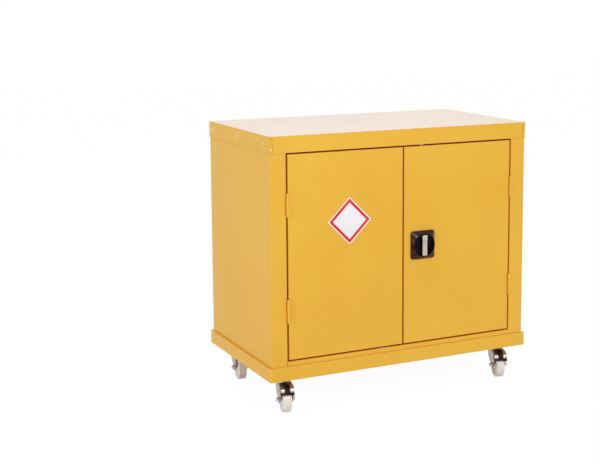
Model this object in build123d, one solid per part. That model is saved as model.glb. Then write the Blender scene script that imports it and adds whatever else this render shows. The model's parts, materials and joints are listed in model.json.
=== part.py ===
from build123d import *
from math import cos, radians
import os

# A mobile two-door cabinet for flammable liquids: a folded steel body with a leak-tight sump,
# standing in a tray on four swivel castors, under a laminate top held in a steel rim.
# Millimetres. +X is the right as one faces the doors, -Y the front, +Z up, z = 0 the ground.
# The origin is the middle of the whole outline, on the ground.

# ---------------------------------------------------------------- whole cabinet
width = 900.0
depth = 500.0
height = 853.0
sheet = 1.2  # folded body steel
bend = 1.8  # centre-line radius of the folds
slack = 0.3  # between pieces that must not touch
running = 0.05  # radial clearance of pins, shafts and screws

# ---------------------------------------------------------------- tray, top and opening
tray_height = 42.0
tray_lip = 8.0  # how far the tray stands proud of the body
tray_sheet = 1.5
tray_corner = 6.0
rim_height = 51.0
rim_sheet = 1.5
rim_ledge = 16.0
board_thickness = 18.0
post_width = 52.0
jamb_depth = 24.0
back_return = 20.0
back_fold = 14.0
sill_rise = 14.0  # sill above the tray
sill_flange = 26.0
rail_flange = 30.0
sill_lip = 9.0
rail_lip = 11.0
sump_wall = 34.0
floor_lift = 10.0  # sump above the tray's floor, room for the castor bolts' heads
roof_lip = 22.0
roof_stay = 30.0
stay_gap = 4.0
rim_corner = 1.6
board_edge = 0.6
tray_fold = 1.2

# ---------------------------------------------------------------- doors and hinges
door_gap = 5.0
door_thickness = 20.0
door_lip = 14.0
door_edge = 2.0  # rounding of the folded front edges
stiffener_width = 40.0
stiffener_foot = 12.0
stiffener_depth = 15.0
stiffener_inset = 24.0
stiffener_taper = 5.0
hinge_length = 70.0
hinge_inset = 157.0  # hinge middle from the opening's ends
hinge_knuckles = 3
knuckle_radius = 4.75
hinge_pin_radius = 2.5
hinge_head_radius = 4.25
hinge_head_height = 1.6
leaf_sheet = 1.5
leaf_depth = 18.0

# ---------------------------------------------------------------- lock
lock_offset = 68.0  # from the cabinet's middle
escutcheon_width = 85.0
escutcheon_height = 90.0
escutcheon_corner = 9.0
escutcheon_base = 4.0
escutcheon_rise = 15.0
escutcheon_floor = 5.0
boss_radius = 11.0
boss_length = 8.0
nut_thickness = 5.0
nut_radius = 15.0
knob_radius = 36.0
knob_rise = 18.0
knob_wall = 3.0
knob_floor = 2.7
knob_edge = 1.0
knob_seat = 1.6  # rim of the plate round the knob
spindle_radius = 8.0
drive_size = 7.0
grip_rise = 20.0
grip_width = 17.5
grip_waist = 15.2
grip_bar_rise = 15.0
grip_edge = 1.4
plug_radius = 5.0
plug_offset = 13.0
plug_length = 9.0
plug_recess = 0.2
keyway_size = (2.2, 6.5)
keyway_depth = 3.0
cam_radius = 14.0  # crank radius of the two cam pins
cam_pin_radius = 2.0
cam_hub = 9.0
cam_sheet = 3.0
cam_tip = 5.0
cam_gap = 0.4
cam_screw_radius = 7.0
cam_screw_head = 4.6
rod_width = 18.0
rod_sheet = 3.0
rod_front = 9.0  # rods behind the door's front face
rod_leg = 13.0
rod_tip = 3.0
rod_land = 4.0  # metal round the cam pins' slots
rod_slot_side = 2.0
rod_slot_play = 1.5
rod_play = 0.5  # the pins' play in the rods' slots
rod_gap = 1.0  # rod tips to the rail and the sill when drawn back
guide_height = 14.0
guide_inset = 62.0
guide_foot = 11.0
catch_offset = 66.0
catch_radius = 5.0
catch_length = 16.0
catch_nose = 3.6
catch_tip = 2.0
catch_drop = 3.8
catch_flange = 1.6
catch_flange_sheet = 0.8
strike_size = (34.0, 15.0)
strike_sheet = 1.0

# ---------------------------------------------------------------- shelf
shelf_height = 478.0
shelf_edge = 24.0
shelf_fold = 14.0
shelf_front_gap = 44.0
upright_width = 20.0
upright_depth = 7.0
upright_inset = 70.0
upright_foot = 8.0
upright_pitch = 150.0
upright_slot = (12.0, 3.0)
upright_slot_drop = 4.0
upright_gap = 4.0
clip_width = 12.0
clip_drop = 16.0
clip_reach = 15.0

# ---------------------------------------------------------------- castors
castor_height = 108.0
castor_inset = 62.0
castor_trail = 35.0
wheel_radius = 40.0
wheel_width = 28.0
hub_width = 35.0
hub_radius = 13.0
web_width = 18.0
web_reach = 29.0
web_slope = 2.0
wheel_edge = 4.0
wheel_shoulder = 1.3
bush_radius = 6.0
axle_radius = 4.0
axle_head = 7.0
axle_head_height = 6.5
fork_gap = 37.0
fork_sheet = 2.5
fork_bend = 5.0
fork_height = 92.5
fork_eye = 10.5  # cheek outline: round the axle, behind the wheel, under the race, at the nose
cheek_back = (4.0, 60.0, 19.0)
cheek_neck = (12.0, 14.0, 25.0)
cheek_nose = (36.0, 14.0, 13.0)
race_radius = 24.0
race_flare = 3.5
race_step = 4.0
race_height = 5.5
king_radius = 5.0
king_head = 8.5
king_head_height = 3.0
plate_width = 70.0
plate_length = 95.0
plate_thickness = 3.0
plate_corner = 6.0
bolt_spacing_x = 48.0
bolt_spacing_y = 74.0
bolt_neck = 8.0  # square neck that keeps the bolt from turning
bolt_head = 8.5
bolt_head_height = 3.5
bolt_nut = 6.5
bolt_nut_height = 6.5
pivot_height = 84.5
pivot_trail = 26.0
pivot_radius = 2.5
pivot_head = 4.0
pivot_head_height = 1.2
barrel_radius = 4.0
pedal_sheet = 2.0
pedal_bend = 2.6
pedal_run = 24.0
pedal_fall = 8.0
pedal_wing = 50.0  # forwards of this the pedal is as wide as the fork
pad_width = 18.0
pad_sheet = 2.5
pedal_nose = -69.0  # how far the pedal reaches forwards of the swivel
pedal_lip = 70.0
brake_bar = 9.0
brake_bar_sheet = 3.0
tooth_pitch = 9.0
tooth_depth = 4.5
tooth_count = 4
tooth_width = 0.8  # share of the pitch
# name: side, end and heading of each castor, the heading in degrees from pointing forwards
castors = {
    "front_left": (-1, -1, -12.0),
    "front_right": (1, -1, -17.0),
    "rear_left": (-1, 1, -9.0),
    "rear_right": (1, 1, -7.0),
}
braked = ("front_left", "front_right")

# ---------------------------------------------------------------- worked out from these
seated = (Align.CENTER, Align.CENTER, Align.MIN)  # a round piece standing on its place
front = (grip_rise - depth - tray_lip) / 2  # the posts' front plane
back = front + depth
side = width / 2
opening_side = side - post_width
tray_floor = castor_height + tray_sheet
tray_top = castor_height + tray_height
sill_top = tray_top + sill_rise
rail_bottom = height - rim_height
sump_floor = tray_floor + floor_lift
body_top = height - board_thickness - rim_sheet
door_low = sill_top + door_gap
door_high = rail_bottom - door_gap
door_outer = opening_side - door_gap
door_inner = door_gap / 2
hinge_x = opening_side - door_gap / 2
hinge_y = front - knuckle_radius - slack
hinge_heights = (sill_top + hinge_inset, rail_bottom - hinge_inset)
lock_z = (door_low + door_high) / 2


def block(x0, x1, y0, y1, z0, z1):
    """A box between its six limits."""
    middle = Pos((x0 + x1) / 2, (y0 + y1) / 2, (z0 + z1) / 2)
    return middle * Box(abs(x1 - x0), abs(y1 - y0), abs(z1 - z0))


def rod(radius, length, start, direction):
    """A round bar from a point along X, Y or Z."""
    plane = Plane(start, z_dir=direction)
    return extrude(plane * Circle(radius), length)


def folded(points, thickness=sheet, radius=bend):
    """The section of a folded sheet, from the points of its middle line."""
    return trace(FilletPolyline(*points, radius=radius), line_width=thickness)


def mirrored(shape):
    return mirror(shape, about=Plane.YZ)


def save(name, *shapes):
    """Write one node: one solid, or a group of separate ones."""
    solids = [solid for shape in shapes for solid in shape.solids()]
    export_step(Compound(solids), f"parts/{name}.step")


# ================================================================ cabinet body
def side_panel():
    """Left side: post, jamb, skin and back return folded from one sheet."""
    half = sheet / 2
    section = folded([
        (-opening_side - half, front + jamb_depth),
        (-opening_side - half, front + half),
        (-side + half, front + half),
        (-side + half, back - half),
        (-side + back_return, back - half),
    ])
    return extrude(Pos(0, 0, tray_floor) * section, body_top - sheet - tray_floor)


def back_panel():
    """Back sheet, inside the side panels' returns, with its top and bottom edges folded in."""
    line = back - 1.5 * sheet
    low = tray_floor + sheet / 2
    high = body_top - 1.5 * sheet
    section = folded([(line - back_fold, low), (line, low), (line, high), (line - back_fold, high)])
    reach = side - sheet - bend
    return extrude(Plane.YZ * Pos(0, 0, -reach) * section, 2 * reach)


def sump_outline(inset):
    """The sump's outline: narrow between the posts, wide behind them."""
    reach = side - sheet - inset
    neck = opening_side - slack - inset
    turn = front + jamb_depth + slack + inset
    rear = back - 2 * sheet - slack - inset
    points = [
        (-neck, front + inset), (neck, front + inset), (neck, turn), (reach, turn),
        (reach, rear), (-reach, rear), (-reach, turn), (-neck, turn),
    ]
    return make_face(Polyline(*points, close=True))


def floor_panel():
    """Leak-tight sump with the sill rail folded back over its front wall."""
    pan = extrude(Pos(0, 0, sump_floor) * sump_outline(0), sump_wall)
    pan -= extrude(Pos(0, 0, sump_floor + sheet) * sump_outline(sheet), sump_wall)
    half = sheet / 2
    neck = opening_side - slack
    sill = folded([
        (front + half, tray_floor),
        (front + half, sill_top - half),
        (front + sill_flange, sill_top - half),
        (front + sill_flange, sill_top - sill_lip),
    ])
    pan += extrude(Plane.YZ * Pos(0, 0, -neck) * sill, 2 * neck)
    return pan - rod_slot(sill_top)


def rod_slot(level):
    """The slot that a lock rod enters, through the flange at this level."""
    return block(
        lock_offset - rod_width / 2 - rod_slot_side, lock_offset + rod_width / 2 + rod_slot_side,
        front + rod_front - rod_slot_play, front + rod_front + rod_sheet + rod_slot_play,
        level - 2 * sheet, level + 2 * sheet,
    )


def top_panel():
    """Roof sheet resting on the side panels, folded down at the front into the top rail."""
    half = sheet / 2
    neck = opening_side - slack
    rail = folded([
        (front + rail_flange, rail_bottom + rail_lip),
        (front + rail_flange, rail_bottom + half),
        (front + half, rail_bottom + half),
        (front + half, body_top - half),
        (back - 2 * sheet - slack, body_top - half),
    ])
    panel = extrude(Plane.YZ * Pos(0, 0, -neck) * rail, 2 * neck)
    panel += block(-side, side, front, back, body_top - sheet, body_top)
    stay_x = side - sheet - half
    stay = folded([
        (stay_x, body_top - roof_lip), (stay_x, body_top - half), (stay_x - roof_stay, body_top - half),
    ])
    stay_start = front + jamb_depth + stay_gap
    stay_end = back - 2 * sheet - back_fold - slack
    edge = extrude(Plane.XZ * Pos(0, 0, -stay_start) * stay, stay_start - stay_end)
    panel += edge + mirrored(edge)
    return panel - rod_slot(rail_bottom)


def worktop_rim():
    """Folded rim round the board, with the inward ledge that the board lies on."""
    outer = Rectangle(width + 2 * rim_sheet, depth + 2 * rim_sheet)
    outer = fillet(outer.vertices(), rim_corner)
    inner = Rectangle(width, depth)
    window = Rectangle(width - 2 * rim_ledge, depth - 2 * rim_ledge)
    middle = Pos(0, (front + back) / 2, rail_bottom)
    rim = extrude(middle * (outer - inner), rim_height)
    return rim + Pos(0, 0, body_top - rail_bottom) * extrude(middle * (outer - window), rim_sheet)


def worktop_board():
    size = Rectangle(width - 2 * slack, depth - 2 * slack)
    board = extrude(Pos(0, (front + back) / 2, height - board_thickness) * size, board_thickness)
    return fillet(board.faces().sort_by(Axis.Z)[-1].edges(), board_edge)


def base_tray():
    """Tray with rounded corners whose top edge is folded in to the body."""
    middle = Pos(0, (front + back) / 2, castor_height)
    outline = RectangleRounded(width + 2 * tray_lip, depth + 2 * tray_lip, tray_corner)
    inside = offset(outline, -tray_sheet)
    body_hole = Rectangle(width + 2 * slack, depth + 2 * slack)
    tray = extrude(middle * outline, tray_height)
    tray -= Pos(0, 0, tray_sheet) * extrude(middle * inside, tray_height - 2 * tray_sheet)
    tray -= Pos(0, 0, tray_sheet) * extrude(middle * body_hole, tray_height)
    tray = chamfer(tray.faces().sort_by(Axis.Z)[-1].outer_wire().edges(), tray_fold)
    hole = extrude(Rectangle(bolt_neck + 2 * slack, bolt_neck + 2 * slack), 3 * tray_sheet, both=True)
    for name in castors:
        for place in bolt_places():
            tray -= Pos(*castor_centre(name), castor_height) * place * hole
    return tray


# ================================================================ doors
def door_skin(x0, x1):
    """Folded door pan: face, four returns and the lip folded in round the back."""
    outer = block(x0, x1, front, front + door_thickness, door_low, door_high)
    outer = fillet(outer.faces().sort_by(Axis.Y)[0].edges(), door_edge)
    inner = block(
        x0 + sheet, x1 - sheet, front + sheet, front + door_thickness - sheet,
        door_low + sheet, door_high - sheet,
    )
    window = block(
        x0 + door_lip, x1 - door_lip, front + door_thickness / 2, front + 2 * door_thickness,
        door_low + door_lip, door_high - door_lip,
    )
    return outer - inner - window


def right_door_skin():
    skin = door_skin(door_inner, door_outer)
    skin -= rod(boss_radius + slack, 3 * sheet, (lock_offset, front - sheet, lock_z), (0, 1, 0))
    for level in (door_low, door_high):
        skin -= block(
            lock_offset - rod_width / 2 - slack, lock_offset + rod_width / 2 + slack,
            front + rod_front - slack, front + rod_front + rod_sheet + slack,
            level - 2 * sheet, level + 2 * sheet,
        )
    return skin


def left_door_skin():
    skin = door_skin(-door_outer, -door_inner)
    return skin - rod(catch_radius + running, 3 * sheet, catch_start(), (0, 0, 1))


def stiffener(middle):
    """Hat-shaped upright, welded behind the door's face."""
    half = sheet / 2
    foot_y = front + sheet + half
    crown_y = front + stiffener_depth
    reach = stiffener_width / 2
    section = folded([
        (middle - reach - stiffener_foot, foot_y), (middle - reach, foot_y),
        (middle - reach + stiffener_taper, crown_y), (middle + reach - stiffener_taper, crown_y),
        (middle + reach, foot_y), (middle + reach + stiffener_foot, foot_y),
    ])
    low = door_low + stiffener_inset
    return extrude(Pos(0, 0, low) * section, door_high - stiffener_inset - low)


def catch_start():
    return (-catch_offset, front + door_thickness / 2, door_low - sheet)


def catch_barrel():
    """Spring plunger in the left door's lower edge, its nose reaching down to the strike."""
    x, y, z = catch_start()
    low = door_low - catch_flange_sheet
    barrel = rod(catch_radius, catch_length, (x, y, low), (0, 0, 1))
    flange = rod(catch_radius + catch_flange, catch_flange_sheet, (x, y, low), (0, 0, 1))
    tip = Pos(x, y, low) * Cone(catch_nose, catch_tip, catch_drop, rotation=(180, 0, 0), align=seated)
    return barrel + flange + tip


def catch_strike():
    """Plate on the sill with the hole that the plunger drops into."""
    x, y, _ = catch_start()
    hole = Circle(catch_nose + slack)
    return Pos(x, y, sill_top) * extrude(Rectangle(*strike_size) - hole, strike_sheet)


# ================================================================ hinges
def knuckle_spans(own):
    """Heights of one leaf's knuckles: the frame has the outer ones."""
    pitch = hinge_length / hinge_knuckles
    first = 0 if own == "frame" else 1
    return [(k * pitch - hinge_length / 2, (k + 1) * pitch - hinge_length / 2)
            for k in range(first, hinge_knuckles, 2)]


def hinge_leaf(own, middle_z):
    """Left-hand leaf in the gap between post and door; the frame's knuckles hold the headed pin."""
    face = -opening_side if own == "frame" else -door_outer - leaf_sheet
    low = middle_z - hinge_length / 2
    leaf = block(face, face + leaf_sheet, front + slack, front + leaf_depth, low, low + hinge_length)
    tube = Circle(knuckle_radius)
    web = Pos(face + leaf_sheet / 2 + hinge_x, knuckle_radius / 2 + slack) * Rectangle(
        leaf_sheet, knuckle_radius + 4 * slack)
    for bottom, top in knuckle_spans(own):
        gap_low = 0 if own == "frame" else slack / 2
        section = Pos(-hinge_x, hinge_y, middle_z + bottom + gap_low) * (tube + web)
        leaf += extrude(section, top - bottom - 2 * gap_low)
    if own == "door":
        return leaf - rod(hinge_pin_radius + running, hinge_length, (-hinge_x, hinge_y, low), (0, 0, 1))
    leaf += rod(hinge_pin_radius, hinge_length, (-hinge_x, hinge_y, low), (0, 0, 1))
    return leaf + rod(hinge_head_radius, hinge_head_height, (-hinge_x, hinge_y, low + hinge_length), (0, 0, 1))


# ================================================================ lock
def lock_place(rise):
    """Sketch plane on the lock's axis, this far in front of the door, facing forwards."""
    return Plane((lock_offset, front - rise, lock_z), x_dir=(1, 0, 0), z_dir=(0, -1, 0))


def lock_escutcheon():
    """Plate that rises from a rounded rectangle to the round seat of the knob."""
    plate = RectangleRounded(escutcheon_width, escutcheon_height, escutcheon_corner)
    shell = extrude(lock_place(0) * plate, escutcheon_base)
    shell += loft([
        lock_place(escutcheon_base) * RectangleRounded(
            escutcheon_width - 2 * slack, escutcheon_height - 2 * slack, escutcheon_corner),
        lock_place(escutcheon_rise) * Circle(knob_radius + knob_seat),
    ])
    shell -= extrude(lock_place(escutcheon_floor) * Circle(knob_radius + slack), escutcheon_rise)
    shell += extrude(lock_place(-boss_length) * Circle(boss_radius), boss_length + escutcheon_floor)
    bore = Circle(spindle_radius + running)
    return shell - extrude(lock_place(-boss_length) * bore, boss_length + escutcheon_rise)


def lock_nut():
    nut = RegularPolygon(nut_radius, 6) - Circle(boss_radius + running)
    return extrude(lock_place(-sheet - nut_thickness) * nut, nut_thickness)


def lock_knob():
    """Dished knob with the raised bar across it, and the spindle behind."""
    low = escutcheon_floor + slack
    knob = extrude(lock_place(low) * Circle(knob_radius), knob_rise - low)
    knob = chamfer(knob.faces().sort_by(Axis.Y)[0].edges(), knob_edge)
    dish = extrude(lock_place(low + knob_floor) * Circle(knob_radius - knob_wall), knob_rise)
    bar = extrude(lock_place(low) * Rectangle(grip_width, 2 * knob_radius), grip_bar_rise - low)
    core = extrude(lock_place(low) * Circle(knob_radius - knob_wall / 2), knob_rise)
    knob = knob - dish + (bar & core)
    knob += extrude(lock_place(-boss_length - slack) * Circle(spindle_radius), boss_length + slack + low)
    square = Rectangle(drive_size, drive_size)
    end = cam_front() + cam_sheet
    knob += extrude(lock_place(-end) * square, end - boss_length)
    return knob - plug_bore()


def cam_front():
    """The cam's front face, behind the rods."""
    return rod_front + rod_sheet + cam_gap


def plug_bore():
    place = lock_place(grip_rise - plug_length - plug_recess) * Pos(0, plug_offset, 0)
    return extrude(place * Circle(plug_radius + running), 2 * plug_length)


def lock_grip():
    """Light waisted bar that the fingers turn, seated in the knob's dish."""
    half = grip_width / 2
    reach = knob_radius
    outline = make_face([
        Line((-half, -reach), (half, -reach)),
        ThreePointArc((half, -reach), (grip_waist / 2, 0), (half, reach)),
        Line((half, reach), (-half, reach)),
        ThreePointArc((-half, reach), (-grip_waist / 2, 0), (-half, -reach)),
    ])
    rise = grip_rise - grip_bar_rise
    grip = extrude(lock_place(grip_bar_rise) * outline, rise)
    grip &= extrude(lock_place(grip_bar_rise) * Circle(knob_radius - knob_wall - slack), rise)
    grip = chamfer(grip.faces().sort_by(Axis.Y)[0].edges(), grip_edge)
    return grip - plug_bore()


def lock_plug():
    """Key cylinder's plug with its keyway."""
    place = lock_place(grip_rise - plug_length - plug_recess) * Pos(0, plug_offset, 0)
    plug = extrude(place * Circle(plug_radius), plug_length)
    keyway = place * Pos(0, 0, plug_length - keyway_depth) * Rectangle(*keyway_size)
    return plug - extrude(keyway, keyway_depth)


def pin_offset():
    return cam_radius * cos(radians(45))


def lock_cam():
    """Two-armed cam on the spindle, its pins reaching forwards through the rods."""
    arm = pin_offset()
    plate = make_hull(
        [edge for x, y, r in ((0, 0, cam_hub), (-arm, -arm, cam_tip), (arm, arm, cam_tip))
         for edge in (Pos(x, y) * Circle(r)).edges()]
    )
    plate -= Rectangle(drive_size + 2 * running, drive_size + 2 * running)
    cam = extrude(lock_place(-cam_front() - cam_sheet) * plate, cam_sheet)
    for end in (-1, 1):
        place = lock_place(-cam_front()) * Pos(end * arm, end * arm, 0)
        cam += extrude(place * Circle(cam_pin_radius), rod_sheet + 2 * cam_gap)
    return cam


def lock_screw():
    """Screw and washer that hold the cam on the spindle."""
    place = lock_place(-cam_front() - cam_sheet)
    washer = extrude(place * Circle(cam_screw_radius), -sheet)
    return washer + extrude(place * RegularPolygon(cam_screw_head, 6), -2 * cam_sheet)


def lock_rod(end):
    """Flat rod from the cam to the door's edge, its leg slotted for the cam's pin."""
    tip = (door_high + door_gap - rod_gap) if end > 0 else (door_low - door_gap + rod_gap)
    reach = abs(tip - lock_z)
    arm = pin_offset()
    half = rod_width / 2
    leg_outer = cam_radius + cam_pin_radius + rod_land - rod_slot_play
    leg_inner = leg_outer - rod_leg
    leg_low = -arm - cam_pin_radius - rod_play - rod_land
    start = arm + cam_tip + rod_land
    outline = make_face(Polyline(
        (-leg_outer, leg_low), (-leg_inner, leg_low), (-leg_inner, start),
        (half, start), (half, reach - rod_tip), (half - rod_tip, reach),
        (-half + rod_tip, reach), (-half, reach - rod_tip),
        (-half, start + rod_leg), (-leg_outer, start + rod_tip), close=True,
    ))
    slot_length = cam_radius - arm + 2 * cam_pin_radius + 2 * rod_play
    slot = Pos(-(cam_radius + arm) / 2, -arm) * RectangleRounded(
        slot_length, 2 * (cam_pin_radius + rod_play), cam_pin_radius)
    turn = Rot(0, 0, 0) if end > 0 else Rot(0, 0, 180)
    return extrude(lock_place(-rod_front - rod_sheet) * turn * (outline - slot), rod_sheet)


def rod_guides():
    """Bridges behind the door's face that keep the rods in line."""
    half = sheet / 2
    foot_y = front + sheet + half
    bridge_y = front + rod_front + rod_sheet + slack + half
    leg = rod_width / 2 + slack + half
    section = trace(Polyline(
        (lock_offset - leg - guide_foot, foot_y), (lock_offset - leg, foot_y),
        (lock_offset - leg, bridge_y), (lock_offset + leg, bridge_y),
        (lock_offset + leg, foot_y), (lock_offset + leg + guide_foot, foot_y),
    ), line_width=sheet)
    middles = (
        door_high - guide_inset, lock_z + guide_inset, lock_z - guide_inset, door_low + guide_inset,
    )
    return [extrude(Pos(0, 0, z - guide_height / 2) * section, guide_height) for z in middles]


# ================================================================ shelf
def upright_places():
    """Front and back rows of the shelf uprights."""
    return (front + upright_inset, back - upright_inset)


def shelf_uprights():
    """Slotted channels up the inside of the side panels."""
    half = sheet / 2
    wall = -side + sheet
    low = sump_floor + sump_wall + upright_gap
    high = body_top - roof_lip - upright_gap
    uprights = []
    for row in upright_places():
        near = row - upright_width / 2
        far = row + upright_width / 2
        section = trace(Polyline(
            (wall + half, near - upright_foot), (wall + half, near), (wall + upright_depth, near),
            (wall + upright_depth, far), (wall + half, far), (wall + half, far + upright_foot),
        ), line_width=sheet)
        upright = extrude(Pos(0, 0, low) * section, high - low)
        slot_width, slot_height = upright_slot
        slots = Box(upright_depth, slot_width, slot_height)
        level = shelf_height - upright_slot_drop
        level -= upright_pitch * int((level - low) / upright_pitch)
        while level < high - slot_height:
            upright -= Pos(wall + upright_depth, row, level) * slots
            level += upright_pitch
        uprights += [upright, mirrored(upright)]
    return uprights


def shelf():
    """Shelf tray with its edges folded down and in."""
    reach = side - sheet - upright_depth - sheet - slack
    y0 = front + shelf_front_gap
    y1 = back - 2 * sheet - back_fold - slack
    outer = block(-reach, reach, y0, y1, shelf_height - shelf_edge, shelf_height)
    outer = fillet(outer.edges().filter_by(Axis.X).group_by(Axis.Z)[-1], bend)
    inner = block(
        -reach + sheet, reach - sheet, y0 + sheet, y1 - sheet,
        shelf_height - shelf_edge + sheet, shelf_height - sheet,
    )
    window = block(
        -reach + shelf_fold, reach - shelf_fold, y0 + shelf_fold, y1 - shelf_fold,
        shelf_height - 2 * shelf_edge, shelf_height - shelf_edge / 2,
    )
    return outer - inner - window


def shelf_clips():
    """Hooked clips in the uprights' slots, under the shelf's folded edge."""
    wall = -side + sheet + upright_depth + sheet / 2
    top = shelf_height - shelf_edge
    half = sheet / 2
    plate = Plane.XZ * folded([
        (wall + half, top - clip_drop), (wall + half, top - half), (wall + clip_reach, top - half)
    ])
    clips = []
    for row in upright_places():
        clip = extrude(Pos(0, row + clip_width / 2, 0) * plate, clip_width)
        clips += [clip, mirrored(clip)]
    return clips


# ================================================================ castors
def castor_centre(name):
    side_sign, end_sign, heading = castors[name]
    middle = (front + back) / 2
    return (side_sign * (side - castor_inset), middle + end_sign * (depth / 2 - castor_inset))


def swivelled(name, shape):
    """Turn a castor's piece from the castor's own frame to its place and heading."""
    x, y = castor_centre(name)
    return Pos(x, y, 0) * Rot(0, 0, castors[name][2]) * shape


def bolt_places():
    """The four bolts of one castor, from its centre."""
    return GridLocations(bolt_spacing_x, bolt_spacing_y, 2, 2)


def castor_plates():
    """Top plates with the pressed upper race and the king pin, bolted through the tray's floor."""
    plate = extrude(RectangleRounded(plate_width, plate_length, plate_corner), -plate_thickness)
    race_low = fork_height + race_height + slack - castor_height
    race = make_face(Polyline(
        (0, -plate_thickness), (race_radius + race_flare, -plate_thickness),
        (race_radius, race_low), (0, race_low), close=True,
    ))
    low = fork_height - fork_sheet - castor_height - slack
    pin = make_face(Polyline(
        (0, race_low), (king_radius, race_low), (king_radius, low), (king_head, low),
        (king_head, low - king_head_height), (0, low - king_head_height), close=True,
    ))
    whole = plate + revolve(Plane.XZ * race, Axis.Z) + revolve(Plane.XZ * pin, Axis.Z)
    for place in bolt_places():
        whole += place * castor_bolt()
    return [Pos(*castor_centre(name), castor_height) * whole for name in castors]


def castor_bolt():
    """Bolt with its head in the tray, its square neck through both sheets and its nut below."""
    neck = extrude(Rectangle(bolt_neck, bolt_neck), tray_sheet)
    head = extrude(Pos(0, 0, tray_sheet) * RegularPolygon(bolt_head, 6), bolt_head_height)
    nut = extrude(Pos(0, 0, -plate_thickness) * RegularPolygon(bolt_nut, 6), -bolt_nut_height)
    return neck + head + nut


def castor_fork(pedal):
    """Pressed fork: an arched section cut to the cheeks' outline, with the lower race on top."""
    half = fork_gap / 2 + fork_sheet / 2
    crown = fork_height - fork_sheet / 2
    arch = folded([(-half, 0), (-half, crown), (half, crown), (half, 0)], fork_sheet, fork_bend)
    bar = extrude(Plane.XZ * arch, castor_height, both=True)
    back_in, back_level, back_radius = cheek_back
    neck_in, neck_drop, neck_radius = cheek_neck
    nose_in, nose_drop, nose_radius = cheek_nose
    cheek = make_hull(
        [edge for y, z, r in (
            (-castor_trail, wheel_radius, fork_eye), (-castor_trail - back_in, back_level, back_radius),
            (-neck_in, fork_height - neck_drop, neck_radius), (-nose_in, fork_height - nose_drop, nose_radius))
         for edge in (Pos(y, z) * Circle(r)).edges()]
    )
    fork = bar & extrude(Plane.YZ * cheek, fork_gap, both=True)
    fork -= block(-fork_gap / 2, fork_gap / 2, -castor_height, race_step - race_radius, 0, castor_height)
    race = make_face(Polyline(
        (0, fork_height - fork_sheet), (race_radius, fork_height - fork_sheet),
        (race_radius, fork_height + race_height), (0, fork_height + race_height), close=True,
    ))
    fork += revolve(Plane.XZ * race, Axis.Z)
    fork -= rod(king_radius + running, castor_height, (0, 0, fork_height - race_radius), (0, 0, 1))
    fork -= rod(axle_radius + running, castor_height, (-castor_height / 2, -castor_trail, wheel_radius), (1, 0, 0))
    if pedal:
        start = (-castor_height / 2, -pivot_trail, pivot_height)
        fork -= rod(pivot_radius + running, castor_height, start, (1, 0, 0))
    return fork


def castor_wheel():
    """Moulded wheel: rounded tread, thin web and long hub, drawn as half a section and revolved."""
    tread = wheel_width / 2
    hub = hub_width / 2
    web = web_width / 2
    bore = bush_radius + running
    section = Polyline(
        (bore, -hub), (hub_radius, -hub), (hub_radius + web_slope, -web), (web_reach, -web),
        (web_reach + web_slope, -tread), (wheel_radius - wheel_edge, -tread),
        (wheel_radius - wheel_shoulder, wheel_shoulder - tread), (wheel_radius, wheel_edge - tread),
        (wheel_radius, tread - wheel_edge), (wheel_radius - wheel_shoulder, tread - wheel_shoulder),
        (wheel_radius - wheel_edge, tread), (web_reach + web_slope, tread), (web_reach, web),
        (hub_radius + web_slope, web), (hub_radius, hub), (bore, hub), close=True,
    )
    wheel = revolve(make_face(section), Axis.Y)
    return Pos(0, -castor_trail, wheel_radius) * Rot(0, 0, 90) * wheel


def castor_axle():
    """Axle bolt through both cheeks, nutted outside, with the sleeve that the wheel turns on."""
    inner = fork_gap / 2
    outer = inner + fork_sheet
    plane = Plane((0, -castor_trail, wheel_radius), x_dir=(0, 1, 0), z_dir=(1, 0, 0))
    axle = extrude(plane * Circle(bush_radius), inner, both=True)
    axle += extrude(plane * Circle(axle_radius), outer, both=True)
    for end in (-1, 1):
        face = plane * Pos(0, 0, end * outer)
        axle += extrude(face * RegularPolygon(axle_head, 6), end * axle_head_height)
    return axle


def pedal_line():
    """Side view of the brake pedal's plate: back along the barrel, over the wheel, then down."""
    return [
        (-pivot_trail, pivot_height + barrel_radius - pedal_sheet / 2),
        (-pivot_trail - pedal_run, pivot_height - slack),
        (pedal_nose, pedal_lip + pedal_fall), (pedal_nose, pedal_lip),
    ]


def pedal_section(thickness):
    return folded(pedal_line(), thickness, pedal_bend)


def castor_pedal():
    """Brake pedal: a bent plate on a rolled barrel, as wide as the fork in front of the cheeks."""
    reach = fork_gap / 2 - slack
    section = pedal_section(pedal_sheet)
    barrel = Pos(-pivot_trail, pivot_height) * Circle(barrel_radius)
    pedal = extrude(Plane.YZ * (section + barrel), reach, both=True)
    wings = section & Pos(-pedal_wing - fork_gap, pivot_height) * Rectangle(2 * fork_gap, 2 * fork_gap)
    pedal += extrude(Plane.YZ * wings, fork_gap / 2 + fork_sheet, both=True)
    return pedal - rod(pivot_radius + running, 2 * fork_gap, (-fork_gap, -pivot_trail, pivot_height), (1, 0, 0))


def castor_pad():
    """Black pad down the pedal's middle, ending in the toothed brake bar."""
    band = pedal_section(pedal_sheet + 2 * pad_sheet) - pedal_section(pedal_sheet)
    strip = band.faces().sort_by(Axis.Y)[-1]
    pad = extrude(Plane.YZ * (Sketch() + strip), pad_width / 2, both=True)
    front_y = pedal_nose - pedal_sheet / 2 - pad_sheet
    reach = fork_gap / 2 + fork_sheet
    bar = block(-reach, reach, front_y, front_y + brake_bar_sheet, pedal_lip - brake_bar, pedal_lip)
    low = pedal_lip - brake_bar
    half = tooth_width * tooth_pitch / 2
    notch = make_face(Polyline((-half, low), (0, low + tooth_depth), (half, low), close=True))
    notch = extrude(Plane.XZ * notch, castor_height, both=True)
    for place in GridLocations(tooth_pitch, 0, tooth_count, 1):
        bar -= place * notch
    return pad + bar


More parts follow.
